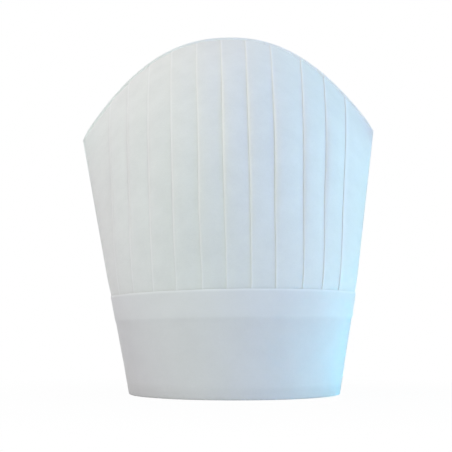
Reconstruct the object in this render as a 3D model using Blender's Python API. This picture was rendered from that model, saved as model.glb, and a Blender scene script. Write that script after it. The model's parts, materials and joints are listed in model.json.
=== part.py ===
"""Pleated chef toque with a closed, rounded top.

Two pleated crown panels meet along a ridge over the top and down both sides. Their lower edges are
held between the two plies of a stiffened cuff, whose free end laps over the back and closes with a
hook-and-loop patch. The hat stands on its rim: +Z is up, the wearer faces -Y, the origin is the
centre of the head opening, and every length is in metres.
"""
import math

import bmesh
import bpy
from mathutils import Vector

MM = 0.001
DEGREE = math.radians(1.0)
WHOLE_TURN = (0.0, 360.0)

# Driving dimensions of the hat.
HAT_HEIGHT = 308.5 * MM
RIM_RADIUS = 88.5 * MM  # outer radius of the round head opening
CUFF_HEIGHT = 83 * MM
CUFF_TOP_HALF_WIDTH = 104 * MM  # the cuff grows into an oval towards its top edge
CUFF_TOP_HALF_DEPTH = 74 * MM
CORNER_HEIGHT = 220.5 * MM  # where the ridge starts at each side
CORNER_HALF_WIDTH = 125.5 * MM
RIDGE_POWER = 2.25  # the ridge's outline; 2 would be a parabola
SEAM_GAP = 0.3 * MM  # clearance between pieces that touch on the hat
SHARP_ANGLE = 30.0  # edges sharper than this, in degrees, are shaded as edges

# Plies of the cuff, each given by how far its outer and inner faces lie inside the cuff's outer face.
COVER_FACES = (0.0, 0.9 * MM)
HEM_FACES = (2.4 * MM, 3.2 * MM)
STIFFENER_FACES = (1.2 * MM, 2.1 * MM)
LINING_FACES = (4.0 * MM, 4.8 * MM)
SWEATBAND_FACES = (5.1 * MM, 6.9 * MM)
HEM_HEIGHT = 8 * MM
STIFFENER_HEIGHTS = (1.5 * MM, 60 * MM)
LINING_HEIGHTS = (1.2 * MM, 82 * MM)
SWEATBAND_HEIGHTS = (4 * MM, 40 * MM)
SWEATBAND_ANGLES = (190.0, 350.0)  # across the forehead
FOLD_HEIGHT = 0.9 * MM  # thickness of the turned bottom edge
FOLD_ROUNDING = 0.4 * MM
CUFF_SEGMENTS = 72
SWEATBAND_SEGMENTS = 32
CUFF_ROW = 20 * MM  # greatest height of one row of faces on the cuff

# Crown panels.
TUCK_HEIGHTS = (62 * MM, 81 * MM)  # stretch of a panel that lies inside the cuff
CROWN_INSET = 2.3 * MM  # the flat crown cloth lies this far inside the cuff's outer face
CROWN_THICKNESS = 1.2 * MM
CROWN_FULLNESS = 4 * MM  # how far the pleats belly out between cuff and ridge
BULGE_POWERS = (3.0, 0.8)  # the front-to-back profile
CREASE_POWER = 1.5  # 1 would keep the side seams round up to the ridge, 2 would make them a flat wedge
FIRST_PLEAT, LAST_PLEAT = -5, 5
# Where fold n lies across a panel, in degrees: the terms in 1, n, n^2 and n^3, at the cuff and at the
# ridge. The folds are about evenly spaced along the cloth, and lean outwards on their way up.
FOLD_TERMS_AT_CUFF = (-3.04, 11.17, -0.053, 0.041)
FOLD_TERMS_AT_RIDGE = (-1.9, 10.2, 0.11, 0.033)
FOLD_SHIFTS = {-1: 0.5, 1: -0.5, 2: -0.8, 3: 0.9, 5: -0.7}  # folds laid off the even spacing, in degrees
FOLD_WIDTH = 0.15  # angle taken by the step at a fold, in degrees
STEP_AT_CUFF = 0.8 * MM  # height of a fold above the cloth beside it
STEP_AT_RIDGE = 0.25 * MM
STEP_SWELL = 1.6 * MM  # extra height of a fold half way up
PANEL_STEPS = 2  # columns in one pleat
SIDE_STEPS = 5  # columns in the plain strip beside each side seam
CROWN_ROWS = 16
ROW_CROWDING = 1.6  # rows crowd together towards the ridge

# Lapped end of the cuff and its closure, at the back.
TAIL_ANGLES = (60.0, 104.0)
TAIL_HEIGHTS = (2.5 * MM, 81 * MM)
TAIL_CORNER_RADIUS = 16 * MM
TAIL_THICKNESS = 0.8 * MM
TAIL_LIFT = 1.9 * MM  # height of the tail above the cuff where it lies on the patches
TAIL_LIFT_ANGLE = 12.0  # angle over which the tail climbs to that height
PATCH_ANGLES = (78.0, 99.0)
PATCH_HEIGHTS = (18 * MM, 66 * MM)
LOOP_FACES = (-0.8 * MM, -0.3 * MM)
HOOK_FACES = (-1.6 * MM, -1.1 * MM)
PATCH_SEGMENTS = 8
TAIL_SEGMENTS = 20
TAIL_ROWS = 4


def clear_scene():
    for item in list(bpy.data.objects):
        bpy.data.objects.remove(item, do_unlink=True)


def material(name, colour, roughness, metallic=0.0):
    made = bpy.data.materials.new(name)
    made.use_nodes = True
    shader = made.node_tree.nodes["Principled BSDF"]
    shader.inputs["Base Color"].default_value = (*colour, 1.0)
    shader.inputs["Roughness"].default_value = roughness
    shader.inputs["Metallic"].default_value = metallic
    return made


def mix(low, high, share):
    return low + (high - low) * share


def steps(low, high, count):
    """count + 1 values spread evenly from low to high."""
    return [mix(low, high, k / count) for k in range(count + 1)]


def sweep(name, loops, look, closed=False):
    """A solid skinned over closed loops that all have the same number of points.

    A loop lists its outer points first and then its inner points in reverse, so that an open sweep
    is capped by a strip of quads between the two halves.
    """
    mesh = bmesh.new()
    rows = [[mesh.verts.new(point) for point in loop] for loop in loops]
    size = len(rows[0])
    pairs = list(zip(rows, rows[1:]))
    if closed:
        pairs.append((rows[-1], rows[0]))
    for lower, upper in pairs:
        for k in range(size):
            after = (k + 1) % size
            mesh.faces.new((lower[k], lower[after], upper[after], upper[k]))
    if not closed:
        for row in (rows[0], rows[-1]):
            for k in range(size // 2 - 1):
                mesh.faces.new((row[k], row[k + 1], row[size - 2 - k], row[size - 1 - k]))
    bmesh.ops.recalc_face_normals(mesh, faces=mesh.faces)
    data = bpy.data.meshes.new(name)
    mesh.to_mesh(data)
    mesh.free()
    data.materials.append(look)
    data.shade_smooth()
    data.set_sharp_from_angle(angle=SHARP_ANGLE * DEGREE)
    made = bpy.data.objects.new(name, data)
    bpy.context.scene.collection.objects.link(made)
    return made


def cuff_point(angle, height, inset):
    """A point of the cuff at an angle in degrees from +X, moved inwards by inset."""
    share = height / CUFF_HEIGHT
    half_width = mix(RIM_RADIUS, CUFF_TOP_HALF_WIDTH, share) - inset
    half_depth = mix(RIM_RADIUS, CUFF_TOP_HALF_DEPTH, share) - inset
    turn = angle * DEGREE
    return Vector((half_width * math.cos(turn), half_depth * math.sin(turn), height))


def strip_section(low, high, outer, inner):
    """(height, inset) of a strip's cross-section, up its outer face and down its inner one."""
    heights = steps(low, high, math.ceil((high - low) / CUFF_ROW))
    return [(height, outer) for height in heights] + [(height, inner) for height in heights[::-1]]


def band(name, look, angles, heights, faces, segments, closed=False):
    """A strip of even thickness that follows the cuff between two angles."""
    section = strip_section(*heights, *faces)
    turns = steps(*angles, segments)
    if closed:
        turns = turns[:-1]
    loops = [[cuff_point(angle, height, inset) for height, inset in section] for angle in turns]
    return sweep(name, loops, look, closed)


def cuff_cover(look):
    """The outer ply, folded under at the rim and turned up inside as a narrow hem."""
    outer, inner = COVER_FACES
    hem_outer, hem_inner = HEM_FACES
    ply = strip_section(FOLD_HEIGHT, CUFF_HEIGHT, outer, inner)
    fold = [
        (FOLD_HEIGHT, hem_outer),
        (HEM_HEIGHT, hem_outer),
        (HEM_HEIGHT, hem_inner),
        (FOLD_ROUNDING, hem_inner),
        (0.0, hem_inner - FOLD_ROUNDING),
        (0.0, FOLD_ROUNDING),
        (FOLD_ROUNDING, outer),
    ]
    section = ply + fold
    turns = steps(0.0, 360.0, CUFF_SEGMENTS)[:-1]
    loops = [[cuff_point(angle, height, inset) for height, inset in section] for angle in turns]
    return sweep("cuff_cover", loops, look, closed=True)


def ridge_height(side):
    """Height of the ridge at a distance from the middle of the hat."""
    share = min(1.0, abs(side) / CORNER_HALF_WIDTH)
    return HAT_HEIGHT - (HAT_HEIGHT - CORNER_HEIGHT) * share**RIDGE_POWER


def crown_point(angle, level, offset):
    """A point of the front crown panel.

    angle runs from -90 at the left side seam to 90 at the right one, level from 0 at the cuff's top
    edge to 1 at the ridge, and offset is how far the point stands out of the cloth's flat face.
    """
    turn = angle * DEGREE
    low_half_width = CUFF_TOP_HALF_WIDTH - CROWN_INSET
    half_depth = CUFF_TOP_HALF_DEPTH - CROWN_INSET + CROWN_FULLNESS * math.sin(math.pi * level)
    half_width = mix(low_half_width, CORNER_HALF_WIDTH, level) + offset
    top = ridge_height(CORNER_HALF_WIDTH * math.sin(turn)) + offset
    bulge = (1.0 - level ** BULGE_POWERS[0]) ** BULGE_POWERS[1]
    depth = (half_depth + offset) * math.cos(turn) ** mix(1.0, CREASE_POWER, level) * bulge
    return Vector((half_width * math.sin(turn), -depth - SEAM_GAP / 2, mix(CUFF_HEIGHT, top, level)))


def tuck_point(angle, height, offset):
    """A point of the front crown panel where it lies inside the cuff."""
    point = cuff_point(angle - 90.0, height, CROWN_INSET - offset)
    point.y -= SEAM_GAP / 2
    return point


def fold_angle(number, level):
    """Where pleat fold number lies across the panel, in degrees."""
    terms = [mix(*pair, level) for pair in zip(FOLD_TERMS_AT_CUFF, FOLD_TERMS_AT_RIDGE)]
    even = sum(term * number**power for power, term in enumerate(terms))
    return even + FOLD_SHIFTS.get(number, 0.0)


def crown_columns(level):
    """(angle, share of the step height) of each column, from the left side seam to the right one.

    The cloth climbs to its full step at a fold, which faces left, and then sinks under the next one.
    """
    first, last = fold_angle(FIRST_PLEAT, level), fold_angle(LAST_PLEAT, level)
    columns = [(angle, 0.0) for angle in steps(-90.0, first - FOLD_WIDTH, SIDE_STEPS)]
    for number in range(FIRST_PLEAT, LAST_PLEAT):
        start, end = fold_angle(number, level), fold_angle(number + 1, level) - FOLD_WIDTH
        for k, angle in enumerate(steps(start, end, PANEL_STEPS)):
            columns.append((angle, 1.0 - k / PANEL_STEPS))
    for k, angle in enumerate(steps(last, 90.0, SIDE_STEPS)):
        columns.append((angle, 1.0 - k / SIDE_STEPS))
    return columns


def step_height(level):
    swell = STEP_SWELL * math.sin(math.pi * level)
    return mix(STEP_AT_CUFF, STEP_AT_RIDGE, level) + swell


def crown_panel(name, look, heading):
    """One pleated panel, made as the front one and turned about +Z by heading."""
    loops = []
    columns = crown_columns(0.0)
    for height in TUCK_HEIGHTS:
        outer = [tuck_point(angle, height, rise * STEP_AT_CUFF) for angle, rise in columns]
        inner = [tuck_point(angle, height, -CROWN_THICKNESS) for angle, rise in columns]
        loops.append(outer + inner[::-1])
    for row in range(CROWN_ROWS + 1):
        level = 1.0 - (1.0 - row / CROWN_ROWS) ** ROW_CROWDING
        columns = crown_columns(level)
        step = step_height(level)
        outer = [crown_point(angle, level, rise * step) for angle, rise in columns]
        inner = [crown_point(angle, level, -CROWN_THICKNESS) for angle, rise in columns]
        loops.append(outer + inner[::-1])
    panel = sweep(name, loops, look)
    panel.rotation_euler.z = heading
    return panel


def tail_lift(angle):
    """How far the tail's inner face stands off the cuff."""
    climb = min(1.0, (angle - TAIL_ANGLES[0]) / TAIL_LIFT_ANGLE)
    smooth = climb * climb * (3.0 - 2.0 * climb)
    return mix(SEAM_GAP, TAIL_LIFT, smooth)


def cuff_tail(look, hinge_foot):
    """The free end of the cuff, lapped over the closure, with round corners at its tip."""
    start, end = TAIL_ANGLES
    low, high = TAIL_HEIGHTS
    corner = TAIL_CORNER_RADIUS / RIM_RADIUS / DEGREE
    straight = TAIL_SEGMENTS // 2
    turns = [(angle, 0.0) for angle in steps(start, end - corner, straight)]
    for quarter in steps(0.0, 90.0, TAIL_SEGMENTS - straight)[1:]:
        along = math.sin(quarter * DEGREE)
        rise = TAIL_CORNER_RADIUS * (1.0 - math.cos(quarter * DEGREE))
        turns.append((end - corner + corner * along, rise))
    loops = []
    for angle, trim in turns:
        inner = -tail_lift(angle)
        heights = steps(low + trim, high - trim, TAIL_ROWS)
        section = [(height, inner - TAIL_THICKNESS) for height in heights]
        section += [(height, inner) for height in heights[::-1]]
        loops.append([cuff_point(angle, height, inset) for height, inset in section])
    tail = sweep("cuff_tail", loops, look)
    tail.data.transform(hinge_foot.matrix_world.inverted())
    tail.parent = hinge_foot
    return tail


def tail_hinge():
    """An empty at the foot of the line about which the tail bends, with its +Z along that line."""
    inset = -SEAM_GAP - TAIL_THICKNESS / 2
    foot = cuff_point(TAIL_ANGLES[0], TAIL_HEIGHTS[0], inset)
    head = cuff_point(TAIL_ANGLES[0], TAIL_HEIGHTS[1], inset)
    hinge = bpy.data.objects.new("tail_hinge", None)
    bpy.context.scene.collection.objects.link(hinge)
    hinge.rotation_mode = "QUATERNION"
    hinge.rotation_quaternion = (head - foot).to_track_quat("Z", "Y")
    hinge.location = foot
    bpy.context.view_layer.update()
    return hinge


def build():
    clear_scene()
    crown_cloth = material("crown_nonwoven", (0.84, 0.84, 0.83), 0.85)
    cuff_cloth = material("cuff_nonwoven", (0.79, 0.79, 0.78), 0.80)
    lining_cloth = material("lining_nonwoven", (0.83, 0.83, 0.82), 0.90)
    card = material("stiffener_card", (0.82, 0.80, 0.74), 0.75)
    foam = material("sweatband_foam", (0.88, 0.88, 0.86), 0.95)
    fastener = material("hook_and_loop", (0.90, 0.91, 0.92), 0.70)

    crown_panel("crown_front", crown_cloth, 0.0)
    crown_panel("crown_back", crown_cloth, math.pi)
    cuff_cover(cuff_cloth)
    band("cuff_stiffener", card, WHOLE_TURN, STIFFENER_HEIGHTS, STIFFENER_FACES, CUFF_SEGMENTS, True)
    band("cuff_lining", lining_cloth, WHOLE_TURN, LINING_HEIGHTS, LINING_FACES, CUFF_SEGMENTS, True)
    band("sweatband", foam, SWEATBAND_ANGLES, SWEATBAND_HEIGHTS, SWEATBAND_FACES, SWEATBAND_SEGMENTS)
    band("loop_patch", fastener, PATCH_ANGLES, PATCH_HEIGHTS, LOOP_FACES, PATCH_SEGMENTS)

    hinge = tail_hinge()
    cuff_tail(cuff_cloth, hinge)
    hook = band("hook_patch", fastener, PATCH_ANGLES, PATCH_HEIGHTS, HOOK_FACES, PATCH_SEGMENTS)
    hook.data.transform(hinge.matrix_world.inverted())
    hook.parent = hinge


build()
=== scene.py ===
"""Looks of the pleated chef toque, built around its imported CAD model.

The crown is non-woven cloth laid in real knife pleats, the cuff is a lined band with a turned hem, and
the free end of the cuff bends off the back on its hinge. Everything is in metres in the model's frame:
+Z up, the wearer faces -Y, and the origin is the centre of the head opening.
"""
import json
import math
import random

import bmesh
import bpy
import numpy as np
from mathutils import Matrix, Vector


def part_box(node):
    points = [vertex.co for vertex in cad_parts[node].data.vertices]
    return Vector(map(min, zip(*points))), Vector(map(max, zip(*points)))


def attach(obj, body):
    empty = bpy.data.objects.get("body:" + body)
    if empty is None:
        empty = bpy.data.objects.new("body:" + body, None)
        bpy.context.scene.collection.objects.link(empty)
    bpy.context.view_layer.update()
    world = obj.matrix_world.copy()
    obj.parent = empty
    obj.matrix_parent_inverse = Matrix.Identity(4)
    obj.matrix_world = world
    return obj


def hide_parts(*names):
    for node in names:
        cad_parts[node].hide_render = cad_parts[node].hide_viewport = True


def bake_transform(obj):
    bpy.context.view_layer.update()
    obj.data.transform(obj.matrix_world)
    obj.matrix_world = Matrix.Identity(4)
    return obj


MM = 0.001
DEGREE = math.radians(1.0)

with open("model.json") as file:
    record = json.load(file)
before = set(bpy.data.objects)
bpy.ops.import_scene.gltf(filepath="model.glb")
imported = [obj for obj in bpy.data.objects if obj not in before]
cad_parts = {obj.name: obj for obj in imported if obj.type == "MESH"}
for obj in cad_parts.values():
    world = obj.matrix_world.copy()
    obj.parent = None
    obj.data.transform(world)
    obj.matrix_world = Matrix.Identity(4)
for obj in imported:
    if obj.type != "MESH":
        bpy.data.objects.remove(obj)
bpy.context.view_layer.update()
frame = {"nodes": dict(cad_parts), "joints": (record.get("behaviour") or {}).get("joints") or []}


# Sizes that the frame gives.
def top_half_depth(node):
    """Half the front-to-back size of a node's top edge."""
    low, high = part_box(node)
    return max(v.co.y for v in frame["nodes"][node].data.vertices if v.co.z > high.z - 0.1 * MM)


HAT_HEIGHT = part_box("crown_front")[1].z
CORNER_HALF_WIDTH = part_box("crown_front")[1].x
RIM_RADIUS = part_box("cuff_cover")[1].y
CUFF_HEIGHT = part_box("cuff_cover")[1].z
CUFF_TOP_HALF_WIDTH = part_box("cuff_cover")[1].x
CUFF_TOP_HALF_DEPTH = top_half_depth("cuff_cover")
TUCK_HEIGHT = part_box("crown_front")[0].z
CORNER_HEIGHT = 220.5 * MM  # where the ridge starts at each side

# Shape of the crown, as in the CAD model.
RIDGE_POWER = 2.25
CROWN_INSET = 2.3 * MM
CROWN_FULLNESS = 4 * MM
BULGE_POWERS = (3.0, 0.8)
CREASE_POWER = 1.5
FIRST_PLEAT, LAST_PLEAT = -5, 5
FOLD_TERMS_AT_CUFF = (-3.04, 11.17, -0.053, 0.041)
FOLD_TERMS_AT_RIDGE = (-1.9, 10.2, 0.11, 0.033)
FOLD_SHIFTS = {-1: 0.5, 1: -0.5, 2: -0.8, 3: 0.9, 5: -0.7}  # folds laid off the even spacing, in degrees

# The soft hat leans a little towards -X.
CUFF_LEAN = 0.8 * DEGREE
CROWN_LEAN = 1.8 * DEGREE
CUFF_ARCH = 1.7 * MM  # how much higher the cuff's top edge is at the front and back than at the sides

# The pleated cloth.
CLOTH_THICKNESS = 0.16 * MM
FLOOR_OFFSETS = (-0.5 * MM, -0.85 * MM)  # where a pleat meets the next fold, pressed flat and open
FOLD_RADII = (0.12 * MM, 0.17 * MM)
LEAST_GAP = 0.05 * MM  # air inside a fold
SLACK = (0.3 * MM, 0.04 * MM)  # what an open fold adds to it, in the left and in the right pleats
UNDERLAPS = (9 * MM, 7.8 * MM)  # how far each pleat reaches under the next one, at the cuff and the ridge
UNDERLAP_TURN = 0.25 * MM  # how much further its inner turn goes
NOSE_SETBACK = 0.4 * MM  # where the cloth comes out of a fold, behind the fold's edge
PLEAT_ARCH = 0.95 * MM  # how far an open pleat rises behind its edge
ARCH_POWER = 13  # how close behind the edge it does
FALL_POWERS = (1.5, 2.4)  # how a pleat falls away to the next fold, pressed flat and open
LAST_FALL_POWER = 1.6
CROWDING = 1.5  # how much closer the columns are near a fold's edge
EDGE_SHARE = 1 / 14  # how much of a pleat's width is marked as its pressed edge, whitened partly for its extra plies and partly as a painted highlight
WANDER = 0.35 * MM  # how far a fold strays sideways
WANDER_LENGTH = 180 * MM
SWELL_LENGTH = 120 * MM  # of the waves in how open a fold is
UNEVENNESS = 0.55 * MM
UNEVENNESS_LENGTH = 90 * MM
WELD_HEIGHT = 2.0 * MM  # the welded edge along the ridge
SIDE_WELD = 0.7 * MM  # and down the side creases
WELD_THICKNESS = 0.55 * MM
PANEL_GAP = 0.12 * MM  # between the cloth of a panel and the plane in which the two panels meet
CROWN_SWELL = (1.05 * MM, 2.1 * MM)  # how far the crown spreads in the cuff's mouth, and just above
CROWN_ROWS = 76
TUCK_ROWS = 5
SIDE_COLUMNS = 16
TOP_COLUMNS = 15
UNDER_COLUMNS = 4
NOSE_COLUMNS = 5


def mix(low, high, share):
    return low + (high - low) * share


def smooth(value, low=0.0, high=1.0):
    """0 below low, 1 above high, and an even rise between them."""
    share = np.clip((value - low) / (high - low), 0.0, 1.0)
    return share * share * (3.0 - 2.0 * share)


def ripple(seed, reach, waves=5):
    """A smooth uneven function of two lengths, about 1 high, whose waves are about reach long."""
    source = random.Random(seed)
    parts = []
    for _ in range(waves):
        turn = source.uniform(0.0, math.tau)
        pace = math.tau / (reach * source.uniform(0.7, 1.6))
        parts.append((pace * math.cos(turn), pace * math.sin(turn), source.uniform(0.0, math.tau)))

    def value(across, along):
        total = sum(np.sin(a * across + b * along + c) for a, b, c in parts)
        return total / math.sqrt(waves)

    return value


def skin(name, points, us, vs, wrap_rows=False, wrap_columns=False, marks=None):
    """A quad mesh over points[row][column], with its cloth coordinates in metres as UVs.

    us has one value per column and vs one per row, plus one more where that direction wraps.
    """
    points = np.asarray(points, float)
    rows, columns = points.shape[:2]
    mesh = bpy.data.meshes.new(name)
    faces, uvs = [], []
    for r in range(rows if wrap_rows else rows - 1):
        up = (r + 1) % rows
        for c in range(columns if wrap_columns else columns - 1):
            on = (c + 1) % columns
            faces.append((r * columns + c, r * columns + on, up * columns + on, up * columns + c))
            uvs += [us[c], vs[r], us[c + 1], vs[r], us[c + 1], vs[r + 1], us[c], vs[r + 1]]
    mesh.from_pydata(points.reshape(-1, 3), [], faces)
    layer = mesh.uv_layers.new(name="cloth")
    layer.data.foreach_set("uv", np.array(uvs, np.float32))
    for label, values in (marks or {}).items():
        attribute = mesh.attributes.new(label, "FLOAT", "POINT")
        attribute.data.foreach_set("value", np.asarray(values, np.float32).ravel())
    mesh.shade_smooth()
    mesh.validate()
    made = bpy.data.objects.new(name, mesh)
    bpy.context.scene.collection.objects.link(made)
    return made


def path_lengths(points):
    """Distance along a row of points, from its first one."""
    gaps = np.linalg.norm(np.diff(np.asarray(points), axis=0), axis=1)
    return np.concatenate([[0.0], np.cumsum(gaps)])


def thicken(piece, thickness, offset):
    """Gives a sheet its thickness. offset is 1 to add it on the side that the faces look to."""
    solid = piece.modifiers.new("thickness", "SOLIDIFY")
    solid.thickness = thickness
    solid.offset = offset
    solid.use_even_offset = False
    return piece


def ridge_height(side):
    share = np.minimum(1.0, np.abs(side) / CORNER_HALF_WIDTH)
    top = HAT_HEIGHT - WELD_HEIGHT
    return top - (top - CORNER_HEIGHT) * share**RIDGE_POWER


def crown_swell(level):
    return mix(*CROWN_SWELL, smooth(level, -0.05, 0.12)) * (1.0 - level)


def crown_base(angle, level):
    """Points of the front panel's flat cloth. angle is in degrees from the middle, level from 0 at
    the cuff to 1 at the ridge."""
    turn = angle * DEGREE
    bow = np.sin(math.pi * level)
    swell = crown_swell(level)
    half_width = mix(CUFF_TOP_HALF_WIDTH - CROWN_INSET, CORNER_HALF_WIDTH, level) + swell
    half_depth = CUFF_TOP_HALF_DEPTH - CROWN_INSET + CROWN_FULLNESS * bow + swell
    bulge = np.maximum(0.0, 1.0 - level ** BULGE_POWERS[0]) ** BULGE_POWERS[1]
    facing = np.maximum(0.0, np.cos(turn)) ** mix(1.0, CREASE_POWER, level)
    side = half_width * np.sin(turn)
    height = mix(CUFF_HEIGHT, ridge_height(CORNER_HALF_WIDTH * np.sin(turn)), level)
    return np.stack([side, -half_depth * facing * bulge - PANEL_GAP, height], axis=-1)


def cuff_base(angle, height, inset=0.0):
    """Points of the cuff's outer face, moved inwards by inset. angle is in degrees from +X."""
    share = height / CUFF_HEIGHT
    turn = angle * DEGREE
    half_width = mix(RIM_RADIUS, CUFF_TOP_HALF_WIDTH, share) - inset
    half_depth = mix(RIM_RADIUS, CUFF_TOP_HALF_DEPTH, share) - inset
    flat = np.broadcast_arrays(half_width * np.cos(turn), half_depth * np.sin(turn), height)
    return np.stack(flat, axis=-1)


def crown_outward(angle, level):
    """The outward direction of the front panel's flat cloth."""
    turn_step, level_step = 0.5, 0.004
    level = np.clip(level, 2 * level_step, 1.0 - 2 * level_step)
    angle = np.clip(angle, -88.5, 88.5)
    across = crown_base(angle + turn_step, level) - crown_base(angle - turn_step, level)
    along = crown_base(angle, level + level_step) - crown_base(angle, level - level_step)
    out = np.cross(across, along)
    return out / np.linalg.norm(out, axis=-1, keepdims=True)


def fold_angle(number, level):
    terms = [mix(*pair, level) for pair in zip(FOLD_TERMS_AT_CUFF, FOLD_TERMS_AT_RIDGE)]
    even = sum(term * number**power for power, term in enumerate(terms))
    return even + FOLD_SHIFTS.get(number, 0.0)


def degrees_per_metre(angle, level):
    wide = mix(CUFF_TOP_HALF_WIDTH, CORNER_HALF_WIDTH, level) * np.cos(angle * DEGREE)
    deep = CUFF_TOP_HALF_DEPTH * np.sin(angle * DEGREE)
    return 1.0 / (DEGREE * np.hypot(wide, deep))


def crown_columns(level, seed):
    """(angle, offset, edge) of each column of a pleated panel, from the left crease to the right one.

    angle is in degrees and offset in metres outwards from the flat cloth, both one value per row.
    edge is 1 on the pressed edge of a fold, which the cloth's material whitens, partly for the fold's extra
    plies and partly as a painted highlight. The cloth runs under each fold, turns back on itself inside,
    comes out again over the fold's round edge, and goes on to the next fold.
    """
    source = random.Random(seed)
    opened = smooth(level, 0.0, 0.42) * (1.0 - 0.8 * smooth(level, 0.6, 0.97))  # pressed at both ends
    pressed = 1.0 - smooth(level, 0.9, 1.0)
    reach = {number: source.uniform(0.82, 1.18) for number in range(FIRST_PLEAT, LAST_PLEAT + 1)}
    drift = {number: ripple(seed + 7 * number, WANDER_LENGTH, 3) for number in reach}
    swell = {number: ripple(seed + 11 * number, SWELL_LENGTH, 3) for number in reach}
    height = level * (HAT_HEIGHT - CUFF_HEIGHT)
    zero = np.zeros_like(level)

    def fold(number):
        wander = drift[number](zero, height) * WANDER * smooth(level, 0.0, 0.3)
        angle = fold_angle(number, level)
        return angle + wander * degrees_per_metre(angle, level)

    floor = mix(*FLOOR_OFFSETS, opened)
    columns = []
    first = fold(FIRST_PLEAT)
    for share in np.linspace(0.0, 1.0, SIDE_COLUMNS):
        columns.append((mix(-90.0, first, share), floor * share**2.2, zero))
    for number in range(FIRST_PLEAT, LAST_PLEAT + 1):
        here = fold(number)
        scale = degrees_per_metre(here, level)
        lively = 1.0 + 0.3 * swell[number](zero, height)
        radius = mix(*FOLD_RADII, opened)
        slack = mix(*SLACK, smooth(number, 0, 3)) * reach[number] * lively * opened
        gap = (LEAST_GAP + slack) * mix(0.2, 1.0, pressed)
        arch = PLEAT_ARCH * opened * lively * pressed
        low = floor + 2.0 * CLOTH_THICKNESS + gap
        top = low + 2.0 * radius
        inner = floor + 2.0 * CLOTH_THICKNESS + 0.3 * gap
        depth = mix(*UNDERLAPS, level) * scale
        for share in np.linspace(0.0, 1.0, UNDER_COLUMNS + 1)[1:]:
            columns.append((here + depth * share, floor, zero))
        columns.append((here + depth + UNDERLAP_TURN * scale, (floor + inner) / 2, zero))
        for share in np.linspace(1.0, 0.0, UNDER_COLUMNS + 1):
            angle = here + mix(NOSE_SETBACK * scale, 0.985 * depth, share)
            columns.append((angle, mix(low, inner, share), zero))
        for turn in np.linspace(-0.5, 0.5, NOSE_COLUMNS):
            across = -radius * math.cos(turn * math.pi) * scale
            lift = top - radius + radius * math.sin(turn * math.pi)
            columns.append((here + across, lift, zero + 1.0))
        last = number == LAST_PLEAT
        following = zero + 90.0 if last else fold(number + 1)
        power = mix(*FALL_POWERS, opened)
        count = SIDE_COLUMNS if last else TOP_COLUMNS
        for share in np.linspace(0.0, 1.0, count + 1)[1:] ** CROWDING:
            if last:
                offset = (top + arch) * (1.0 - share) ** LAST_FALL_POWER
            else:
                offset = mix(top + arch, floor, share**power)
            offset = offset - arch * (1.0 - share) ** ARCH_POWER
            # the fold's pressed edge, whitened later: partly its extra plies, partly a painted highlight
            edge = zero + max(0.0, 1.0 - share / EDGE_SHARE)
            columns.append((mix(here, following, share), offset, edge))
    return columns


def crown_panel(name, heading, seed):
    """One pleated panel, made as the front one and turned about +Z by heading."""
    upper = 1.0 - (1.0 - np.linspace(0.0, 1.0, CROWN_ROWS + 1)) ** 1.35
    level = np.concatenate([np.zeros(TUCK_ROWS), upper])
    tuck_drops = np.linspace(CUFF_HEIGHT - TUCK_HEIGHT, 3 * MM, TUCK_ROWS)
    drop = np.concatenate([tuck_drops, np.zeros(CROWN_ROWS + 1)])
    columns = crown_columns(level, seed)
    angle = np.stack([c[0] for c in columns], axis=1)
    offset = np.stack([c[1] for c in columns], axis=1)
    edge = np.stack([c[2] for c in columns], axis=1)
    rows = np.broadcast_to(level[:, None], angle.shape)
    points = crown_base(angle, rows)
    uneven = ripple(seed, UNEVENNESS_LENGTH)(points[..., 0], points[..., 2]) * UNEVENNESS
    free = smooth(rows, 0.02, 0.35) * (1.0 - smooth(rows, 0.85, 1.0)) * np.cos(angle * DEGREE) ** 0.5
    points = points + crown_outward(angle, rows) * (offset + uneven * free)[..., None]
    inside = drop > 0.0
    cuff_height = CUFF_HEIGHT - drop[inside]
    spread = CROWN_SWELL[0] * smooth(cuff_height, CUFF_HEIGHT - 12 * MM, CUFF_HEIGHT)[:, None]
    tucked = cuff_base(angle[inside] - 90.0, cuff_height[:, None], CROWN_INSET - spread - offset[inside])
    tucked[..., 1] -= PANEL_GAP
    points[inside] = tucked
    middle = len(level) // 2
    us = path_lengths(points[middle])
    vs = path_lengths(points[:, points.shape[1] // 2])
    piece = skin(name, points, us, vs, marks={"edge": edge})
    piece.data.transform(Matrix.Rotation(heading, 4, "Z"))
    thicken(piece, CLOTH_THICKNESS, 1.0)
    return piece


def weld_dots(run, pitch=2.2 * MM):
    """1 at the middle of each weld dot and 0 between them, along a line."""
    return 0.5 + 0.5 * np.cos(run * math.tau / pitch)


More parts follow.
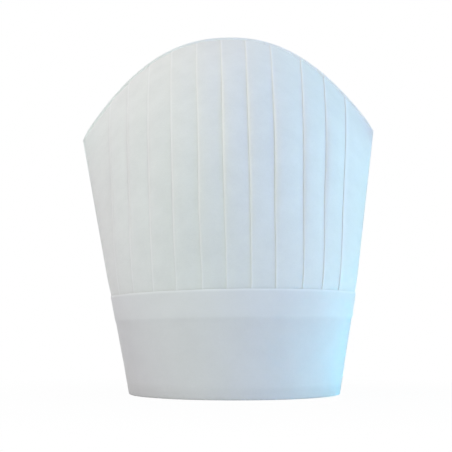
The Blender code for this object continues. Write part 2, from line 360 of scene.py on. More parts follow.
def crown_weld():
    """The cut and welded edge of the two panels: up one side crease, over the ridge, down the other."""
    side_levels = np.linspace(-0.1, 1.0, 150)
    low_half_width = CUFF_TOP_HALF_WIDTH - CROWN_INSET
    swell = crown_swell(np.maximum(side_levels, 0.0)) * smooth(side_levels, -0.06, 0.0)
    half_width = mix(low_half_width, CORNER_HALF_WIDTH, side_levels) + swell
    left = np.stack([-half_width, mix(CUFF_HEIGHT, CORNER_HEIGHT, side_levels)], -1)
    across = CORNER_HALF_WIDTH * np.sin(np.linspace(-90.0, 90.0, 420) * DEGREE)
    ridge = np.stack([across, ridge_height(across)], -1)[1:-1]
    right = left[::-1] * (-1.0, 1.0)
    line = np.concatenate([left, ridge, right])
    run = path_lengths(line)
    even = np.arange(0.0, run[-1], 0.5 * MM)
    line = np.stack([np.interp(even, run, line[:, k]) for k in (0, 1)], -1)
    ahead = np.gradient(line, axis=0)
    ahead /= np.linalg.norm(ahead, axis=1, keepdims=True)
    out = np.stack([-ahead[:, 1], ahead[:, 0]], -1)
    for _ in range(3):
        out[1:-1] = (out[:-2] + 2 * out[1:-1] + out[2:]) / 4
    on_ridge = smooth(line[:, 1], CORNER_HEIGHT - 4 * MM, CORNER_HEIGHT + 10 * MM)
    reach = mix(SIDE_WELD, WELD_HEIGHT, on_ridge)
    dots = weld_dots(even)
    pitted = 1.0 - 0.62 * dots  # the middle of the edge is pressed in, dot by dot
    # Each pair is how far out, as a share of the edge's width, and how thick, as a share of its thickness.
    section = [(-0.25, 0.7), (0.05, 1.0), (0.3, 1.0), (0.5, pitted), (0.7, 1.0), (0.93, 1.0), (1.0, 0.4)]
    rows = []
    for sign in (-1.0, 1.0):
        ordered = section if sign < 0 else section[::-1]
        for share, half in ordered:
            at = line + out * (reach * share)[:, None]
            face = np.broadcast_to(sign * half * WELD_THICKNESS / 2, even.shape)
            rows.append(np.stack([at[:, 0], face, at[:, 1]], -1))
    vs = np.linspace(0.0, 2 * WELD_HEIGHT, len(rows) + 1)
    # The whole weld gets the edge mark, a painted highlight: its upright faces get less light from above
    # than the cloth beside them.
    marks = {"edge": np.ones((len(rows), len(even)))}
    piece = skin("crown_weld", np.array(rows), even, vs, wrap_rows=True, marks=marks)
    close_ends(piece, len(rows), len(even))
    return piece


# The cuff's outer ply.
CUFF_COLUMNS = 288
RIM_INSET = 0.24 * MM  # half the thickness of the round top edge
COVER_THICKNESS = 0.9 * MM
HEM_HEIGHT = 8 * MM
HEM_FACES = (2.45 * MM, 3.15 * MM)  # the hem's ply inside the cuff, from the outer face
HEM_DOTS = 160  # weld dots round the hem
# Between these heights the painted shade on the turned hem fades out; the cuff's bottom gets less light
# from below.
HEM_SHADE_HEIGHTS = (7.4 * MM, 9.4 * MM)
RISE_HEIGHTS = (TUCK_HEIGHT - 1.6 * MM, TUCK_HEIGHT + 0.8 * MM)
CUFF_RISE = 0.4 * MM


def crown_behind(height):
    """1 where the crown's tucked edge is behind the cuff's cloth, and 0 below it."""
    return smooth(np.asarray(height), *RISE_HEIGHTS)


def cuff_section():
    """(height, inset, share) round the cuff's outer ply. share is how much of the unevenness it has."""
    heights = np.linspace(3 * MM, CUFF_HEIGHT - 0.6 * MM, 46)
    section = [(h, 0.0, 1.0) for h in heights]
    for turn in np.linspace(0.0, 180.0, 9)[1:-1] * DEGREE:
        lift = RIM_INSET * math.sin(turn)
        section.append((CUFF_HEIGHT - 0.3 * MM + lift, RIM_INSET * (1.0 - math.cos(turn)), 1.0))
    thin = 2 * RIM_INSET
    section += [(h, mix(COVER_THICKNESS, thin, smooth(h, 52 * MM, 60 * MM)), 1.0) for h in heights[::-1]]
    outer, inner = HEM_FACES
    turned = [(2.0 * MM, COVER_THICKNESS), (1.2 * MM, 1.3 * MM), (1.2 * MM, 2.1 * MM), (2.0 * MM, outer)]
    turned += [(h * MM, outer) for h in (4.0, 6.0, 7.6)]
    turned += [(HEM_HEIGHT, 2.6 * MM), (HEM_HEIGHT, 3.0 * MM), (7.6 * MM, inner)]
    turned += [(h * MM, inner) for h in (6.0, 4.0, 2.0)]
    bottom = 1.0 * MM  # radius of the hem's two bottom edges
    for turn in np.linspace(0.0, 90.0, 5) * DEGREE:
        turned.append((bottom - bottom * math.sin(turn), inner - bottom * (1.0 - math.cos(turn))))
    for turn in np.linspace(90.0, 15.0, 5) * DEGREE:
        turned.append((bottom - bottom * math.sin(turn), bottom * (1.0 - math.cos(turn))))
    return section + [(height, inset, 0.0) for height, inset in turned]


def cuff_shell():
    """The cuff's outer ply: round top edge, turned bottom edge and a short hem inside, welded through."""
    angles = np.linspace(0.0, 360.0, CUFF_COLUMNS + 1)[:-1]
    uneven = ripple(31, 110 * MM)
    small = ripple(32, 38 * MM)
    run = angles * DEGREE * RIM_RADIUS
    dots = weld_dots(run, math.tau * RIM_RADIUS / HEM_DOTS)
    rows, edge, backed, hem = [], [], [], []
    for height, inset, share in cuff_section():
        free = smooth(np.array(height), 6 * MM, 30 * MM)
        bow = (uneven(run, height) * 0.28 + small(run, height) * 0.06) * MM * free * share
        behind = float(crown_behind(height))
        on_hem = np.exp(-((height - HEM_HEIGHT) / (0.55 * MM)) ** 2) if inset == 0.0 else 0.0
        pit = (0.10 + 0.22 * dots) * MM * on_hem
        face = inset - bow - CUFF_RISE * behind * share + pit
        rows.append(cuff_base(angles, np.full(CUFF_COLUMNS, height), face))
        # The round top edge gets the edge mark, a painted highlight where the edge catches the light.
        edge.append(np.full(CUFF_COLUMNS, 1.0 if height > CUFF_HEIGHT - 0.65 * MM else 0.0))
        backed.append(np.full(CUFF_COLUMNS, behind))
        # Painted shade on the hem, darkest at the bottom, where less light reaches.
        hem.append(np.full(CUFF_COLUMNS, 1.0 - float(smooth(np.array(height), *HEM_SHADE_HEIGHTS))))
    vs = path_lengths([row[0] for row in rows])
    vs = np.append(vs, vs[-1] + 1 * MM)
    us = np.append(run, math.tau * RIM_RADIUS)
    marks = {"edge": edge, "backed": backed, "hem": hem}
    return skin("cuff_shell", np.array(rows), us, vs, True, True, marks)


def ring_band(name, angles, heights, faces, seed, loop, puff=None, step=1.25, levels=15):
    """A strip of cloth inside or outside the cuff. puff gives extra thickness over (share, angle), step
    is the angle between columns in degrees, and levels is the number of points up each face."""
    count = int(abs(angles[1] - angles[0]) / step)
    turns = np.linspace(*angles, count + 1)
    if loop:
        turns = turns[:-1]
    low, high = heights
    outer, inner = faces
    shares = np.linspace(0.0, 1.0, levels)
    uneven = ripple(seed, 70 * MM)
    run = turns * DEGREE * RIM_RADIUS
    rows = []
    for face, order in ((outer, shares), (inner, shares[::-1])):
        for share in order:
            height = mix(low, high, share)
            bow = uneven(run, height) * 0.08 * MM
            extra = 0.0 if puff is None or face == outer else puff(share, turns)
            rows.append(cuff_base(turns, np.full(len(turns), height), face - bow + extra))
    vs = path_lengths([row[0] for row in rows])
    vs = np.append(vs, vs[-1] + abs(outer - inner))
    us = np.append(run, run[-1] + 1 * MM) if loop else run
    made = skin(name, np.array(rows), us, vs, True, loop)
    if not loop:
        close_ends(made, len(rows), len(turns))
    return made


def close_ends(piece, rows, columns):
    """Fills the two end outlines of a swept strip whose rows wrap round."""
    mesh = bmesh.new()
    mesh.from_mesh(piece.data)
    mesh.verts.ensure_lookup_table()
    half = rows // 2
    for column, flip in ((0, False), (columns - 1, True)):
        for r in range(half - 1):
            loop = [r, r + 1, rows - 2 - r, rows - 1 - r]
            corners = [mesh.verts[k * columns + column] for k in loop]
            mesh.faces.new(corners if flip else corners[::-1]).smooth = False
    bmesh.ops.recalc_face_normals(mesh, faces=mesh.faces)
    mesh.to_mesh(piece.data)
    mesh.free()


# Lapped end of the cuff and its closure.
TAIL_ANGLES = (60.0, 104.0)
TAIL_WELD_ANGLE = 54.0  # the tail's root is welded to the cuff from here to the hinge
TAIL_CORNER_RADIUS = 16 * MM
TAIL_LIFT = 1.9 * MM
TAIL_LIFT_ANGLE = 12.0
TAIL_GAP = 0.12 * MM  # between the welded root and the cuff
TAIL_BORDER = 3.2 * MM  # from the outline to the line of weld dots
PATCH_ANGLES = (78.0, 99.0)
PATCH_HEIGHTS = (18 * MM, 66 * MM)


def edge_distance(run, height, tip, low, high):
    """How far a point of the tail is from its outline, whose corners at the tip are round."""
    radius = TAIL_CORNER_RADIUS
    from_tip = tip - run
    from_side = np.minimum(height - low, high - height)
    in_corner = (from_tip < radius) & (from_side < radius)
    round_distance = radius - np.hypot(radius - from_tip, radius - from_side)
    return np.maximum(0.0, np.where(in_corner, round_distance, np.minimum(from_tip, from_side)))


def tail_cloth():
    """The free end of the cuff: two plies pressed together along its border, welded on at its root."""
    root, tip = TAIL_ANGLES
    low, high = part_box("cuff_tail")[0].z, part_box("cuff_tail")[1].z
    corner = TAIL_CORNER_RADIUS / RIM_RADIUS / DEGREE
    weld = np.linspace(TAIL_WELD_ANGLE, root - 1.6, 9)
    bend = np.linspace(root - 1.5, root + 4.0, 26)
    flat = np.linspace(root + 4.6, tip - corner, 40)
    quarter = np.linspace(0.0, 90.0, 15)[1:] * DEGREE
    angles = np.concatenate([weld, bend, flat, tip - corner + corner * np.sin(quarter)])
    trims = np.zeros(len(angles))
    trims[-len(quarter):] = TAIL_CORNER_RADIUS * (1.0 - np.cos(quarter))
    run = angles * DEGREE * RIM_RADIUS
    tip_run = tip * DEGREE * RIM_RADIUS
    lift = smooth(angles, root, root + TAIL_LIFT_ANGLE)
    rows = []
    shares = np.linspace(0.0, 1.0, 53)
    for outer, order in ((True, shares), (False, shares[::-1])):
        for share in order:
            height = mix(low + trims, high - trims, share)
            near = edge_distance(run, height, tip_run, low, high)
            inner_face = mix(TAIL_GAP + CUFF_RISE * crown_behind(height), TAIL_LIFT, lift)
            thick = (0.3 + 0.45 * smooth(near, 0.0, 1.4 * MM)) * MM
            groove = np.exp(-(((near - TAIL_BORDER) / (0.5 * MM)) ** 2))
            dots = weld_dots(run + height, 2.4 * MM)
            thick = thick - groove * (0.12 + 0.2 * dots) * MM
            inset = -inner_face - (thick if outer else 0.0)
            rows.append(cuff_base(angles, height, inset))
    vs = path_lengths([row[0] for row in rows])
    vs = np.append(vs, vs[-1] + 1 * MM)
    piece = skin("tail_cloth", np.array(rows), run, vs, wrap_rows=True)
    close_ends(piece, len(rows), len(angles))
    return piece


def scatter(name, spacing, thread, shape, faces_in, face, jitter, seed):
    """Many small bent threads of the given radius set over the closure patch.

    shape lists a thread's points as (along, out), faces_in says which way out is, and face is how far
    their feet are inside the cuff's outer face.
    """
    source = random.Random(seed)
    verts, faces = [], []
    sides = 4
    low, high = PATCH_HEIGHTS
    start, end = (a * DEGREE * RIM_RADIUS for a in PATCH_ANGLES)
    margin = 1.4 * MM
    across = np.arange(start + margin, end - margin, spacing)
    up = np.arange(low + margin, high - margin, spacing)
    for i, run in enumerate(across):
        for k, height in enumerate(up):
            at_run = run + (0.5 * spacing if k % 2 else 0.0) + source.uniform(-jitter, jitter)
            at_height = height + source.uniform(-jitter, jitter)
            turn = source.uniform(-0.5, 0.5) + (math.pi if (i + k) % 2 else 0.0)
            angle = at_run / RIM_RADIUS / DEGREE
            foot = cuff_base(np.array(angle), np.array(at_height), face)
            side = cuff_base(np.array(angle + 0.1), np.array(at_height), face) - foot
            side /= np.linalg.norm(side)
            rise = np.array((0.0, 0.0, 1.0))
            rise = rise - side * rise.dot(side)
            rise /= np.linalg.norm(rise)
            out = np.cross(side, rise)
            if out.dot(foot * (1, 1, 0)) < 0:
                out = -out
            out = out * (-1.0 if faces_in else 1.0)
            lean = side * math.cos(turn) + rise * math.sin(turn)
            beside = np.cross(lean, out)
            base = len(verts)
            for n, (along, away) in enumerate(shape):
                before = shape[max(0, n - 1)]
                after = shape[min(len(shape) - 1, n + 1)]
                ahead = lean * (after[0] - before[0]) + out * (after[1] - before[1])
                ahead /= np.linalg.norm(ahead)
                cross = np.cross(ahead, beside)
                centre = foot + lean * along + out * away
                for q in range(sides):
                    round_turn = math.tau * q / sides
                    around = beside * math.cos(round_turn) + cross * math.sin(round_turn)
                    verts.append(centre + thread * around)
            for n in range(len(shape) - 1):
                for q in range(sides):
                    a, b = base + n * sides + q, base + n * sides + (q + 1) % sides
                    faces.append((a, b, b + sides, a + sides))
            faces.append(tuple(base + q for q in range(sides))[::-1])
            last = base + (len(shape) - 1) * sides
            faces.append(tuple(last + q for q in range(sides)))
    mesh = bpy.data.meshes.new(name)
    mesh.from_pydata([tuple(v) for v in verts], [], faces)
    mesh.uv_layers.new(name="cloth")
    mesh.validate()
    made = bpy.data.objects.new(name, mesh)
    bpy.context.scene.collection.objects.link(made)
    solid = bmesh.new()
    solid.from_mesh(mesh)
    bmesh.ops.recalc_face_normals(solid, faces=solid.faces)
    solid.to_mesh(mesh)
    solid.free()
    return made


def patch_base(name, face, thickness):
    """The woven tape of a patch, flat on the cuff's shape, with slightly round corners."""
    start, end = PATCH_ANGLES
    low, high = PATCH_HEIGHTS
    corner = 2.0 * MM
    corner_angle = corner / RIM_RADIUS / DEGREE
    quarter = np.linspace(0.0, 90.0, 6) * DEGREE
    middle = np.linspace(start + corner_angle, end - corner_angle, 24)[1:-1]
    from_end = corner_angle * (1.0 - np.sin(quarter))
    trim = corner * (1.0 - np.cos(quarter))
    angles = np.concatenate([(start + from_end)[::-1], middle, end - from_end])
    trims = np.concatenate([trim[::-1], np.zeros(len(middle)), trim])
    shares = np.linspace(0.0, 1.0, 25)
    rows = []
    for inset, ordered in ((face - thickness, shares), (face, shares[::-1])):
        for share in ordered:
            rows.append(cuff_base(angles, mix(low + trims, high - trims, share), inset))
    run = angles * DEGREE * RIM_RADIUS
    vs = path_lengths([row[0] for row in rows])
    vs = np.append(vs, vs[-1] + thickness)
    piece = skin(name, np.array(rows), run, vs, wrap_rows=True)
    close_ends(piece, len(rows), len(angles))
    return piece


# Materials.
def nodes_of(name):
    made = bpy.data.materials.new(name)
    made.use_nodes = True
    tree = made.node_tree
    return made, tree, tree.nodes["Principled BSDF"]


def node(tree, kind, settings=None, **inputs):
    made = tree.nodes.new(kind)
    for key, value in (settings or {}).items():
        setattr(made, key, value)
    for key, value in inputs.items():
        socket = made.inputs[key.replace("_", " ")]
        if isinstance(value, bpy.types.NodeSocket):
            tree.links.new(value, socket)
        else:
            socket.default_value = value
    return made


def mapped(tree, scale, turn=0.0):
    """The cloth's own coordinates, stretched and turned."""
    place = node(tree, "ShaderNodeUVMap", {"uv_map": "cloth"})
    spun = node(tree, "ShaderNodeMapping", Vector=place.outputs["UV"], Rotation=(0.0, 0.0, turn))
    return node(tree, "ShaderNodeMapping", Vector=spun.outputs["Vector"], Scale=scale).outputs["Vector"]


def noise(tree, vector, scale=1.0, detail=2.0, roughness=0.5, distortion=0.0):
    made = node(tree, "ShaderNodeTexNoise", Vector=vector, Scale=scale, Detail=detail)
    made.inputs["Roughness"].default_value = roughness
    made.inputs["Distortion"].default_value = distortion
    return made.outputs["Fac"]


def maths(tree, operation, first, second=0.0):
    made = tree.nodes.new("ShaderNodeMath")
    made.operation = operation
    for socket, value in zip(made.inputs, (first, second)):
        if isinstance(value, bpy.types.NodeSocket):
            tree.links.new(value, socket)
        else:
            socket.default_value = value
    return made.outputs[0]


def ranged(tree, value, low, high, new_low, new_high):
    made = node(tree, "ShaderNodeMapRange", Value=value)
    for label, number in (("From Min", low), ("From Max", high), ("To Min", new_low), ("To Max", new_high)):
        made.inputs[label].default_value = number
    return made.outputs["Result"]


def blended(tree, share, first, second):
    made = tree.nodes.new("ShaderNodeMix")
    made.data_type = "RGBA"
    for label, value in (("Factor", share), ("A", first), ("B", second)):
        socket = next(s for s in made.inputs if s.name == label and s.enabled)
        if isinstance(value, bpy.types.NodeSocket):
            tree.links.new(value, socket)
        else:
            socket.default_value = value
    return next(s for s in made.outputs if s.enabled)


def nonwoven(name, colour, contrast=0.05, edge_highlight=0.0, backed_light=0.0, hem_painted_shade=0.0, depth=0.12 * MM):
    """Cloth of random fibres: cloudy thick and thin patches, and fine threads lying every way.

    Marked edges are whitened as a painted highlight (on pressed fold edges partly for their extra plies),
    cloth that has more cloth behind it is whitened, and the turned hem is darkened with painted shade, as
    less light reaches the cuff's bottom.
    """
    made, tree, shader = nodes_of(name)
    cloud = noise(tree, mapped(tree, (1.0, 1.0, 1.0)), scale=48.0, detail=4.0, roughness=0.62)
    broad = noise(tree, mapped(tree, (1.0, 1.0, 1.0)), scale=9.0, detail=2.0)
    threads = None
    for turn, length in ((0.15, 260.0), (1.25, 330.0), (2.2, 300.0)):
        layer = noise(tree, mapped(tree, (2300.0, length, 1.0), turn), detail=1.5, distortion=0.6)
        layer = ranged(tree, layer, 0.35, 0.7, 0.0, 1.0)
        threads = layer if threads is None else maths(tree, "MAXIMUM", threads, layer)
    body = maths(tree, "ADD", maths(tree, "MULTIPLY", cloud, 0.55), maths(tree, "MULTIPLY", broad, 0.25))
    body = maths(tree, "ADD", body, maths(tree, "MULTIPLY", threads, 0.2))
    tone = ranged(tree, body, 0.28, 0.72, 0.0, 1.0)
    dark = tuple(c * (1.0 - contrast) for c in colour) + (1.0,)
    light = tuple(min(1.0, c * (1.0 + contrast)) for c in colour) + (1.0,)
    shade = blended(tree, tone, dark, light)
    white, black = (1.0, 1.0, 1.0, 1.0), (0.0, 0.0, 0.0, 1.0)
    # Marked edges get a painted highlight (on pressed folds partly their extra plies) and the hem gets
    # painted shade; the backed mark is the cloth's own layering.
    marked = (("backed", backed_light, white), ("hem", hem_painted_shade, black), ("edge", edge_highlight, white))
    for label, most, paint in marked:
        if most:
            share = node(tree, "ShaderNodeAttribute", {"attribute_name": label}).outputs["Fac"]
            shade = blended(tree, maths(tree, "MULTIPLY", share, most), shade, paint)
    tree.links.new(shade, shader.inputs["Base Color"])
    rough = ranged(tree, threads, 0.0, 1.0, 0.94, 0.78)
    tree.links.new(rough, shader.inputs["Roughness"])
    height = maths(tree, "ADD", threads, maths(tree, "MULTIPLY", cloud, 1.6))
    bump = node(tree, "ShaderNodeBump", Height=height, Strength=0.55, Distance=depth)
    tree.links.new(bump.outputs["Normal"], shader.inputs["Normal"])
    shader.inputs["Sheen Weight"].default_value = 0.12
    shader.inputs["Sheen Roughness"].default_value = 0.5
    shader.inputs["Specular IOR Level"].default_value = 0.25
    return made


def card_material():
    made, tree, shader = nodes_of("stiffener_card")
    grain = noise(tree, mapped(tree, (500.0, 900.0, 1.0)), detail=4.0)
    shade = blended(tree, grain, (0.76, 0.73, 0.66, 1.0), (0.86, 0.84, 0.78, 1.0))
    tree.links.new(shade, shader.inputs["Base Color"])
    tree.links.new(ranged(tree, grain, 0.3, 0.7, 0.7, 0.85), shader.inputs["Roughness"])
    bump = node(tree, "ShaderNodeBump", Height=grain, Strength=0.3, Distance=0.05 * MM)
    tree.links.new(bump.outputs["Normal"], shader.inputs["Normal"])
    return made


def tape_material(name, colour, roughness, wale):
    """Woven nylon tape with fine ribs."""
    made, tree, shader = nodes_of(name)
    bands = {"wave_type": "BANDS", "bands_direction": "Y"}
    ribs = node(tree, "ShaderNodeTexWave", bands, Vector=mapped(tree, (1.0, 1.0, 1.0)), Scale=wale)
    mottle = noise(tree, mapped(tree, (700.0, 700.0, 1.0)), detail=3.0)
    tone = maths(tree, "MULTIPLY", maths(tree, "ADD", ribs.outputs["Fac"], mottle), 0.5)
    dark = tuple(c * 0.9 for c in colour) + (1.0,)
    shade = blended(tree, tone, dark, colour + (1.0,))
    tree.links.new(shade, shader.inputs["Base Color"])
    rough = ranged(tree, mottle, 0.3, 0.7, roughness - 0.08, roughness + 0.08)
    tree.links.new(rough, shader.inputs["Roughness"])
    bump = node(tree, "ShaderNodeBump", Height=tone, Strength=0.5, Distance=0.08 * MM)
    tree.links.new(bump.outputs["Normal"], shader.inputs["Normal"])
    return made


def lean(piece):
    """Tilts a piece as far as the soft hat leans at each height, and arches the cuff's top edge."""
    mesh = piece.data
    flat = np.empty(3 * len(mesh.vertices), np.float32)
    mesh.vertices.foreach_get("co", flat)
    points = flat.reshape(-1, 3).astype(float)
    heights = np.linspace(-0.01, 0.35, 721)
    turns = CUFF_LEAN * smooth(heights, 0.0, 0.5 * CUFF_HEIGHT)
    turns = turns + (CROWN_LEAN - CUFF_LEAN) * smooth(heights, 0.9 * CUFF_HEIGHT, 1.4 * CUFF_HEIGHT)
    shifts = np.cumsum(turns) * (heights[1] - heights[0])
    turn = np.interp(points[:, 2], heights, turns)
    shift = np.interp(points[:, 2], heights, shifts)
    side = points[:, 0].copy()
    deep = np.minimum(1.0, np.abs(points[:, 1]) / CUFF_TOP_HALF_DEPTH)
    near_edge = smooth(points[:, 2], 50 * MM, CUFF_HEIGHT) - smooth(points[:, 2], CUFF_HEIGHT, 160 * MM)
    points[:, 2] += CUFF_ARCH * near_edge * deep**2
    points[:, 0] = side * np.cos(turn) - shift
    points[:, 2] += side * np.sin(turn)
    mesh.vertices.foreach_set("co", points.astype(np.float32).ravel())
    mesh.update()


def dress(piece, material):
    piece.data.materials.clear()
    piece.data.materials.append(material)
    return piece


# The hat.
# Both cloths whiten their edge marks as a painted highlight; the cuff's hem mark is painted shade.
crown_cloth = nonwoven("crown_nonwoven", (0.84, 0.835, 0.82), edge_highlight=0.5)
cuff_cloth = nonwoven(
    "cuff_nonwoven",
    (0.72, 0.71, 0.715),
    contrast=0.04,
    edge_highlight=0.5,
    backed_light=0.2,
    hem_painted_shade=0.06,
    depth=0.09 * MM,
)
lining_cloth = nonwoven("lining_nonwoven", (0.83, 0.83, 0.82), contrast=0.04)
foam_cloth = nonwoven("sweatband_nonwoven", (0.86, 0.86, 0.84), contrast=0.03, depth=0.08 * MM)
card = card_material()
loop_tape = tape_material("loop_tape", (0.86, 0.87, 0.87), 0.9, 260.0)
hook_tape = tape_material("hook_tape", (0.84, 0.86, 0.87), 0.5, 200.0)

crown_front = dress(crown_panel("crown_cloth_front", 0.0, 3), crown_cloth)
crown_back = dress(crown_panel("crown_cloth_back", math.pi, 5), crown_cloth)
weld = dress(crown_weld(), crown_cloth)
cuff = dress(cuff_shell(), cuff_cloth)
WHOLE_TURN = (0.0, 360.0)
LINING_HEIGHTS, LINING_FACES = (1.4 * MM, 81.8 * MM), (4.0 * MM, 4.5 * MM)
CARD_HEIGHTS, CARD_FACES = (1.6 * MM, 59.8 * MM), (1.25 * MM, 1.95 * MM)
lining = dress(ring_band("lining_cloth", WHOLE_TURN, LINING_HEIGHTS, LINING_FACES, 41, True), lining_cloth)
stiffener = dress(ring_band("stiffener_card", WHOLE_TURN, CARD_HEIGHTS, CARD_FACES, 42, True), card)


# The sweatband and how it is filled.
SIMULATED_FRAMES = 20
PAD_PRESSURE = 4.0
PAD_WIDTH = 12 * MM  # between two weld lines
PAD_HEIGHT = 0.75 * MM
PAD_GROWTH = 1.0 * MM  # the most that the simulation may add
PAD_STEP, PAD_LEVELS = 0.65, 31
SWEATBAND_ANGLES = (190.0, 350.0)
SWEATBAND_HEIGHTS, SWEATBAND_FACES = (4.2 * MM, 39.8 * MM), (5.1 * MM, 5.6 * MM)


def sweatband_puff(share, turns):
    """Soft pads between welded lines, pressed flat along the band's edges."""
    run = turns * DEGREE * RIM_RADIUS
    pads = np.abs(np.sin(run * math.pi / PAD_WIDTH)) ** 0.6
    return PAD_HEIGHT * (1.0 - abs(2.0 * share - 1.0) ** 5) * pads


def blow_up(piece, held, most):
    """Fills a pad: a cloth simulation with pressure inside and the held points fixed, then applied."""
    scene = bpy.context.scene
    group = piece.vertex_groups.new(name="held")
    group.add([int(n) for n in held], 1.0, "REPLACE")
    cloth = piece.modifiers.new("filling", "CLOTH")
    cloth.settings.vertex_group_mass = group.name
    cloth.settings.use_pressure = True
    cloth.settings.uniform_pressure_force = PAD_PRESSURE
    cloth.settings.shrink_min = -0.025
    cloth.settings.effector_weights.gravity = 0.0
    cloth.point_cache.frame_start = 1
    cloth.point_cache.frame_end = SIMULATED_FRAMES
    before = np.array([v.co[:] for v in piece.data.vertices])
    for number in range(1, SIMULATED_FRAMES + 1):
        scene.frame_set(number)
    shaped = piece.evaluated_get(bpy.context.evaluated_depsgraph_get())
    after = np.array([v.co[:] for v in shaped.data.vertices])
    move = after - before
    size = np.linalg.norm(move, axis=1, keepdims=True)
    move *= np.minimum(1.0, most / np.maximum(size, 1e-9))
    piece.modifiers.remove(cloth)
    piece.vertex_groups.remove(group)
    piece.data.vertices.foreach_set("co", (before + move).ravel())
    piece.data.update()
    scene.frame_set(1)


def held_points():
    """The sweatband's points that are glued or welded: its back, its border and its weld lines."""
    columns = int((SWEATBAND_ANGLES[1] - SWEATBAND_ANGLES[0]) / PAD_STEP) + 1
    turns = np.linspace(*SWEATBAND_ANGLES, columns)
    run = turns * DEGREE * RIM_RADIUS
    on_line = np.abs(np.sin(run * math.pi / PAD_WIDTH)) < 0.2
    on_line[[0, 1, -2, -1]] = True
    held = np.ones((2 * PAD_LEVELS, columns), bool)
    held[PAD_LEVELS + 2 : 2 * PAD_LEVELS - 2] = on_line
    return np.flatnonzero(held)


sweatband = ring_band(
    "sweatband_pad",
    SWEATBAND_ANGLES,
    SWEATBAND_HEIGHTS,
    SWEATBAND_FACES,
    seed=43,
    loop=False,
    puff=sweatband_puff,
    step=PAD_STEP,
    levels=PAD_LEVELS,
)
blow_up(sweatband, held_points(), PAD_GROWTH)
dress(sweatband, foam_cloth)
tail = dress(tail_cloth(), cuff_cloth)
TAPE_THICKNESS = 0.27 * MM
LOOP_TAPE_FACE, HOOK_TAPE_FACE = -0.08 * MM, -1.6 * MM  # each tape's inner face, from the cuff's outer face
loop_base = dress(patch_base("loop_tape", LOOP_TAPE_FACE, TAPE_THICKNESS), loop_tape)
hook_base = dress(patch_base("hook_tape", HOOK_TAPE_FACE, TAPE_THICKNESS), hook_tape)
LOOP_SHAPE = np.array([(0.0, 0.0), (0.12, 0.35), (0.35, 0.5), (0.58, 0.35), (0.7, 0.0)]) * MM
HOOK_SHAPE = np.array([(0.0, 0.0), (0.0, 0.3), (0.08, 0.42), (0.22, 0.42), (0.28, 0.3)]) * MM
LOOP_FOOT = LOOP_TAPE_FACE - TAPE_THICKNESS
loops = scatter("loop_pile", 1.1 * MM, 0.05 * MM, LOOP_SHAPE, False, LOOP_FOOT, 0.3 * MM, 51)
hooks = scatter("hook_pile", 1.5 * MM, 0.07 * MM, HOOK_SHAPE, True, HOOK_TAPE_FACE, 0.0, 52)
dress(loops, loop_tape)
dress(hooks, hook_tape)

on_hat = (crown_front, crown_back, weld, cuff, lining, stiffener, sweatband, loop_base, loops)
on_tail = (hook_base, hooks)
for piece in (*on_hat, tail, *on_tail):
    lean(piece)
for piece in on_hat:
    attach(piece, "hat")
for piece in on_tail:
    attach(piece, "tail")

joint = frame["joints"][0]
hinge_axis = Vector(joint["axis"]).normalized()
around = Vector(cuff_base(np.array(61.0), np.array(0.0)) - cuff_base(np.array(60.0), np.array(0.0)))
around = (around - hinge_axis * around.dot(hinge_axis)).normalized()
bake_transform(tail)

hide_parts("crown_front")
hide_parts("crown_back")
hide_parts("cuff_cover")
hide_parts("cuff_lining")
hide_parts("cuff_stiffener")
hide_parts("sweatband")
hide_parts("cuff_tail")
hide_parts("loop_patch")
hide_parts("hook_patch")


# Stage, light and camera.
def floor_material():
    """Pale paper that fades into the white surroundings away from the hat."""
    made, tree, shader = nodes_of("floor")
    shader.inputs["Base Color"].default_value = (0.72, 0.72, 0.72, 1.0)
    shader.inputs["Roughness"].default_value = 0.9
    glow = node(tree, "ShaderNodeEmission", Color=(1.0, 1.0, 1.0, 1.0), Strength=1.0)
    place = node(tree, "ShaderNodeTexCoord")
    far = node(tree, "ShaderNodeVectorMath", {"operation": "LENGTH"}, Vector=place.outputs["Object"])
    ray = node(tree, "ShaderNodeLightPath").outputs["Is Camera Ray"]
    fade = maths(tree, "MULTIPLY", ranged(tree, far.outputs["Value"], 0.1, 0.35, 0.965, 1.0), ray)
    both = node(tree, "ShaderNodeMixShader")
    tree.links.new(fade, both.inputs[0])
    tree.links.new(shader.outputs[0], both.inputs[1])
    tree.links.new(glow.outputs[0], both.inputs[2])
    tree.links.new(both.outputs[0], tree.nodes["Material Output"].inputs["Surface"])
    return made


FLOOR_REACH = 6.0
floor_corners = [(x * FLOOR_REACH, y * FLOOR_REACH, 0.0) for x, y in ((-1, -1), (1, -1), (1, 1), (-1, 1))]
floor_mesh = bpy.data.meshes.new("floor")
floor_mesh.from_pydata(floor_corners, [], [(0, 1, 2, 3)])
floor = bpy.data.objects.new("floor", floor_mesh)
floor.location.z = -0.2 * MM
bpy.context.scene.collection.objects.link(floor)
dress(floor, floor_material())


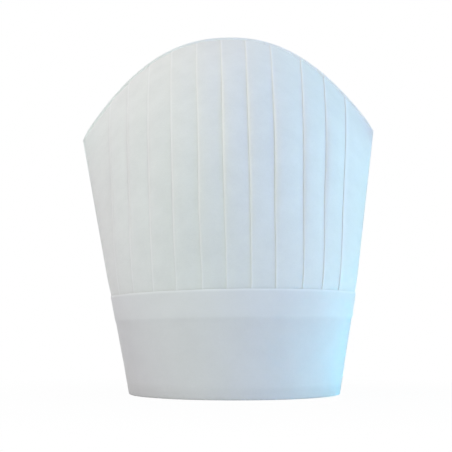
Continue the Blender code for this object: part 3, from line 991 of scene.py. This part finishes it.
def area_light(name, place, target, size, power, colour, spread=180.0):
    data = bpy.data.lights.new(name, "AREA")
    data.shape = "DISK"
    data.size = size
    data.spread = spread * DEGREE
    data.energy = power
    data.color = colour
    made = bpy.data.objects.new(name, data)
    made.location = place
    made.rotation_mode = "QUATERNION"
    made.rotation_quaternion = (Vector(target) - Vector(place)).to_track_quat("-Z", "Y")
    bpy.context.scene.collection.objects.link(made)
    return made


WHITE = (1.0, 1.0, 1.0)
middle = (0.0, 0.0, 0.15)
area_light("top", (0.0, -0.3, 2.2), middle, 1.6, 4.6, WHITE)
area_light("top_left", (-1.3, -0.3, 1.3), middle, 1.0, 12.3, WHITE)
area_light("right", (1.6, -0.4, 0.5), middle, 1.0, 11.0, (0.1, 0.22, 1.0))
area_light("right_front", (0.8, -1.6, 0.12), middle, 0.6, 10.0, (0.76, 1.0, 0.92))
area_light("right_back", (1.7, 0.35, 0.5), middle, 1.0, 10.0, (0.4, 1.0, 0.5))
area_light("low_right", (0.8, -0.2, 0.03), (0.08, 0.0, 0.025), 0.1, 0.017, (0.1, 0.7, 1.0), spread=11.0)
area_light("back", (-0.5, 1.9, 1.0), middle, 1.2, 7.0, WHITE)

world = bpy.data.worlds.new("studio")
bpy.context.scene.world = world
world.use_nodes = True
tree = world.node_tree
tree.nodes.clear()
seen = node(tree, "ShaderNodeBackground", Color=(1.0, 1.0, 1.0, 1.0), Strength=1.0)
lit = node(tree, "ShaderNodeBackground", Color=(1.0, 1.0, 1.0, 1.0), Strength=0.36)
ray = node(tree, "ShaderNodeLightPath")
either = node(tree, "ShaderNodeMixShader")
tree.links.new(ray.outputs["Is Camera Ray"], either.inputs[0])
tree.links.new(lit.outputs[0], either.inputs[1])
tree.links.new(seen.outputs[0], either.inputs[2])
out = node(tree, "ShaderNodeOutputWorld")
tree.links.new(either.outputs[0], out.inputs["Surface"])
bpy.context.scene.view_settings.view_transform = "Standard"

CAMERA_PITCH = 6.4 * DEGREE  # upwards
camera_data = bpy.data.cameras.new("camera")
camera_data.sensor_width = 36.0
camera_data.lens = 76.4
camera_data.clip_start = 0.05
camera = bpy.data.objects.new("camera", camera_data)
camera.location = (-0.007, -0.82, 0.050)
camera.rotation_mode = "XYZ"
camera.rotation_euler = (math.pi / 2 + CAMERA_PITCH, 0.0, 0.0)
bpy.context.scene.collection.objects.link(camera)
bpy.context.scene.camera = camera
